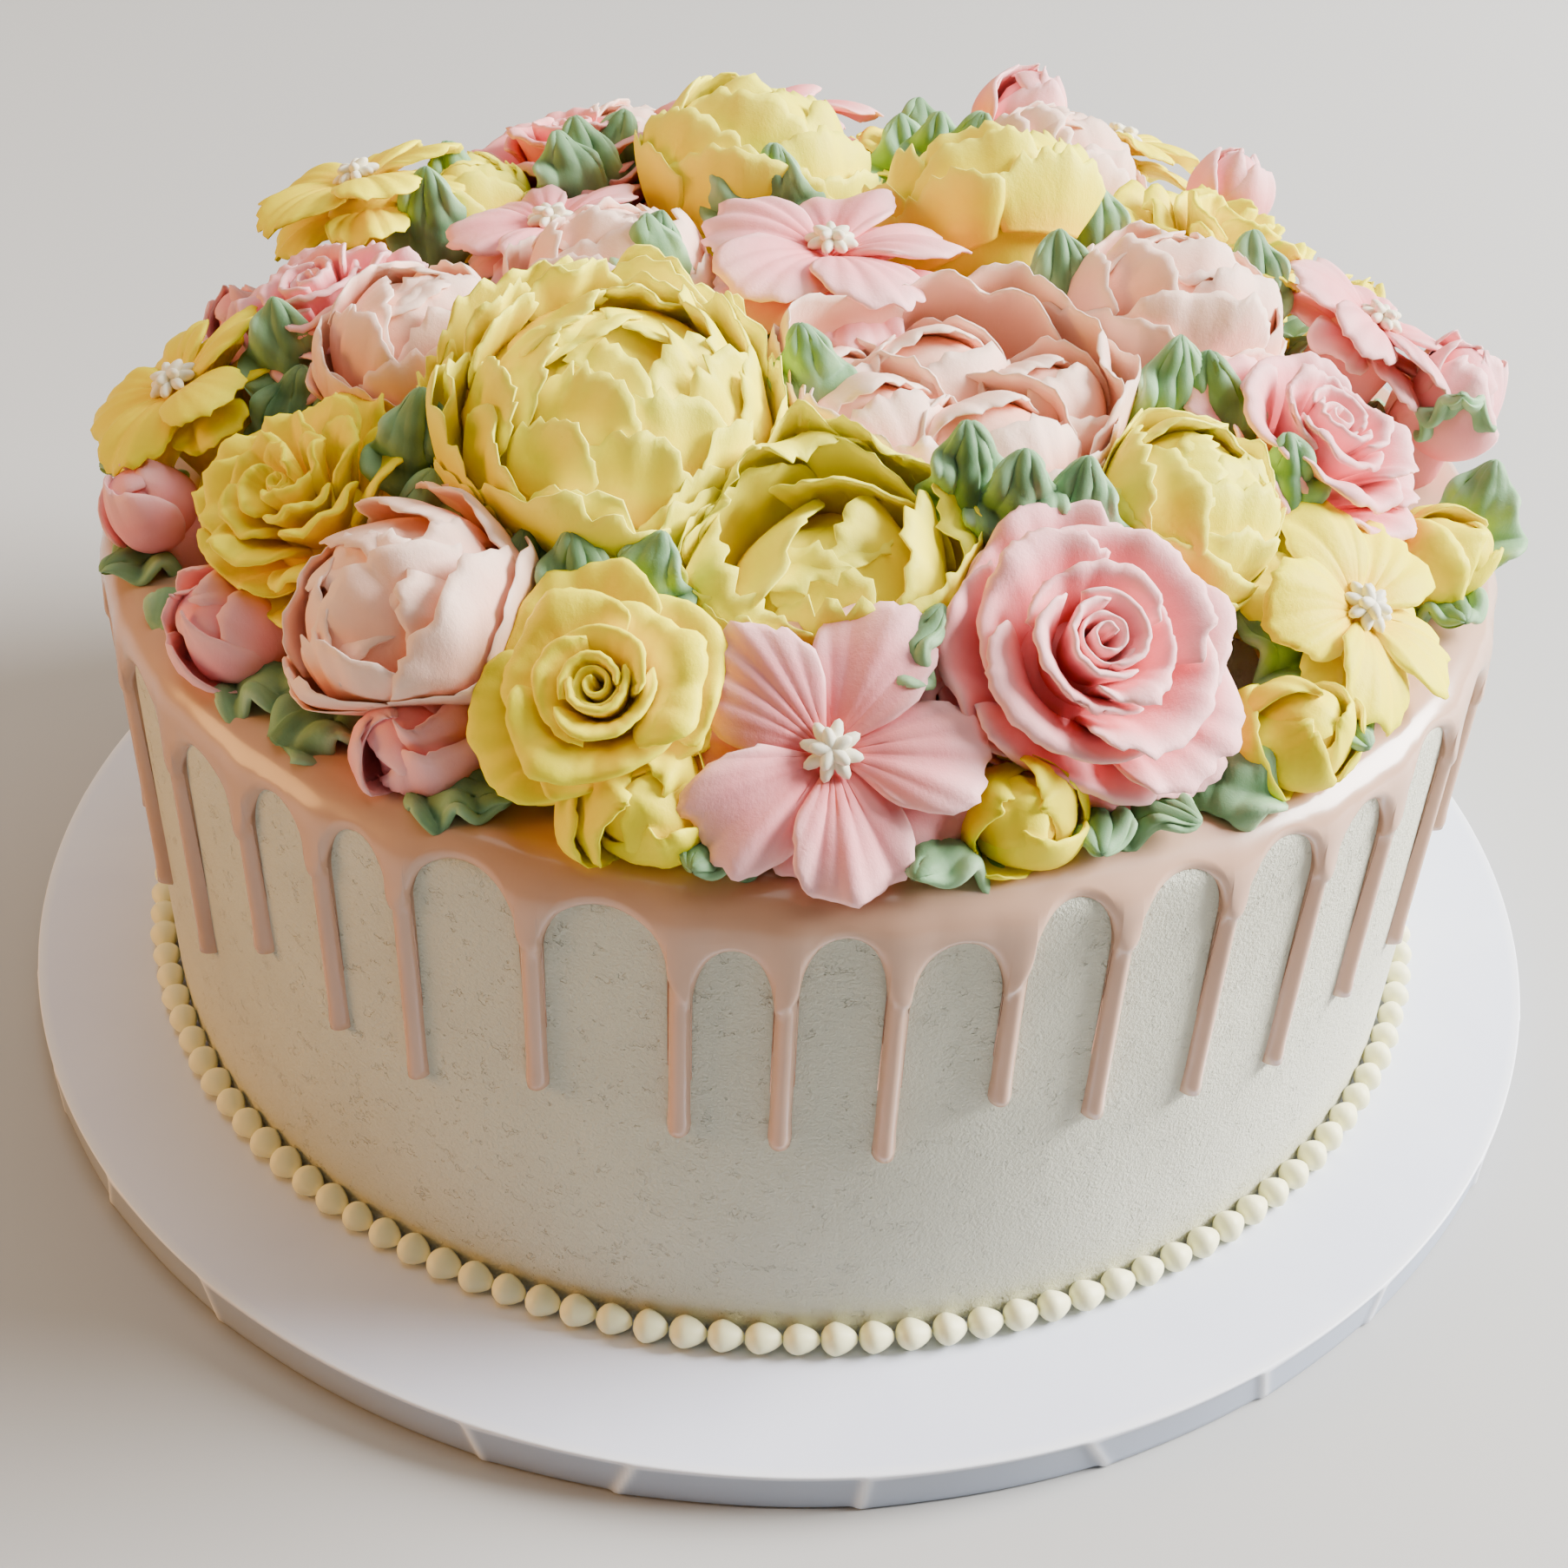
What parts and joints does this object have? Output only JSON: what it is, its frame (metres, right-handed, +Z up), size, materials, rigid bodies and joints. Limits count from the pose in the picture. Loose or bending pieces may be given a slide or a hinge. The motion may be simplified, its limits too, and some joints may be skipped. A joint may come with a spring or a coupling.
{
  "type": "buttercream flower drip cake",
  "caption": "Round cake in smooth ivory icing with a dripping peach glaze, a border of piped beads and a low dome of buttercream flowers and leaves, on a round board.",
  "frame": {"origin": "centre of the underside of the board", "axes": "+Z up, the cake's axis; the side shown in the picture faces -Y"},
  "size_m": [0.3048, 0.3048, 0.1551],
  "materials": {
    "board_white": "smooth foil-like paper wrap, satin",
    "icing_ivory": "smoothed buttercream, matte",
    "glaze_peach": "poured glaze, satin",
    "bead_cream": "piped buttercream, matte",
    "petal_pink": "piped buttercream, matte",
    "petal_peach": "piped buttercream, matte",
    "petal_yellow": "piped buttercream, matte",
    "petal_pale_yellow": "piped buttercream, matte",
    "leaf_sage": "piped buttercream, matte"
  },
  "bodies": {
    "root": {"board": "board_white", "iced_cake": "icing_ivory", "drip_glaze": "glaze_peach", "bead_border": "bead_cream", "rose_1": "petal_pink", "rose_2": "petal_yellow", "rose_3": "petal_yellow", "rose_4": "petal_pink", "rose_5": "petal_pink", "rose_6": "petal_yellow", "rose_7": "petal_yellow", "rose_8": "petal_pink", "rose_9": "petal_yellow", "blossom_1": "petal_pink", "blossom_2": "petal_yellow", "blossom_3": "petal_pink", "blossom_4": "petal_yellow", "blossom_5": "petal_pink", "blossom_6": "petal_pink", "blossom_7": "petal_yellow", "blossom_8": "petal_pink", "blossom_9": "petal_yellow", "blossom_10": "petal_pink", "peony_1": "petal_peach", "peony_2": "petal_peach", "peony_3": "petal_peach", "peony_4": "petal_pale_yellow", "peony_5": "petal_pale_yellow", "peony_6": "petal_peach", "peony_7": "petal_peach", "peony_8": "petal_pale_yellow", "peony_9": "petal_peach", "open_peony_1": "petal_pale_yellow", "open_peony_2": "petal_peach", "ruffled_peony_1": "petal_pale_yellow", "ruffled_peony_2": "petal_pale_yellow", "bud_1": "petal_yellow", "bud_2": "petal_yellow", "bud_3": "petal_pink", "bud_4": "petal_pink", "bud_5": "petal_pink", "bud_6": "petal_pink", "bud_7": "petal_pink", "bud_8": "petal_yellow", "bud_9": "petal_pink", "bud_10": "petal_yellow", "bud_11": "petal_yellow", "bud_12": "petal_pink", "leaves_1": "leaf_sage", "leaves_2": "leaf_sage", "leaves_3": "leaf_sage", "leaves_4": "leaf_sage", "leaves_5": "leaf_sage", "leaves_6": "leaf_sage", "leaves_7": "leaf_sage", "leaves_8": "leaf_sage", "leaves_9": "leaf_sage", "leaves_10": "leaf_sage", "leaves_11": "leaf_sage", "leaves_12": "leaf_sage"}
  },
  "joints": []
}
